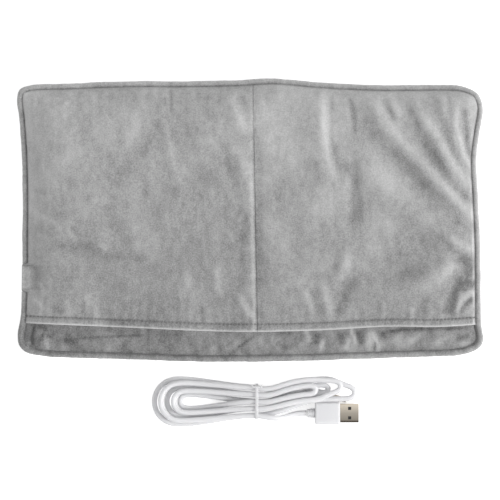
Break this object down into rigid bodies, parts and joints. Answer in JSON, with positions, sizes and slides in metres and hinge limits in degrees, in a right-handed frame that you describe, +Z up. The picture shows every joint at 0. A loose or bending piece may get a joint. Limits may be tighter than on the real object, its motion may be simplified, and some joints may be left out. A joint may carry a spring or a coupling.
{
  "type": "heated foot warmer",
  "caption": "Flat grey plush foot pouch with piped edges, a warming element in its back and a mouth at the front, with its separate USB supply lead tied in a hank.",
  "frame": {"origin": "middle of the pouch's footprint, at the surface it lies on", "axes": "+X along the width of the pouch, to the right seen from above with the mouth towards the viewer; +Y from the mouth to the closed end; +Z up"},
  "size_m": [0.2997, 0.2239, 0.0213],
  "materials": {
    "plush": "short fleece pile, light grey",
    "lining": "short pile, darker grey",
    "wadding": "white polyester wadding",
    "felt": "thin needled felt",
    "wire": "silicone-covered warming wire",
    "white_rubber": "smooth white elastomer",
    "white_plastic": "smooth white moulding",
    "black_plastic": "matt black moulding",
    "steel": "plated steel, warm grey",
    "gold": "gold-coloured contacts"
  },
  "bodies": {
    "pouch": {"back_cover": "plush", "back_wadding": "wadding", "back_lining": "lining", "heater_carrier": "felt", "heating_wire": "wire", "splice_sleeve_1": "black_plastic", "splice_sleeve_2": "black_plastic", "inlet_lead": "white_rubber", "return_lead_lower": "white_rubber", "return_lead_upper": "white_rubber", "overheat_cutout": "black_plastic", "inlet_body": "black_plastic", "inlet_sleeve": "steel", "inlet_pin": "steel", "inlet_boot": "black_plastic", "front_lining": "lining", "front_wadding": "wadding", "front_cover_left": "plush", "front_cover_right": "plush", "edge_piping": "plush"},
    "lead": {"supply_lead": "white_rubber", "twist_tie": "white_plastic", "usb_strain_relief": "white_rubber", "usb_overmold": "white_plastic", "usb_shell": "steel", "usb_tongue": "black_plastic", "usb_contact_1": "gold", "usb_contact_2": "gold", "usb_contact_3": "gold", "usb_contact_4": "gold", "barrel_strain_relief": "white_rubber", "barrel_grip": "white_plastic", "barrel_sleeve": "steel", "barrel_insulator": "black_plastic"}
  },
  "joints": [
    {"name": "lead_lift", "type": "slide", "parent": "pouch", "child": "lead", "axis": [0, 0, 1], "range_m": [0, 0.08]}
  ]
}
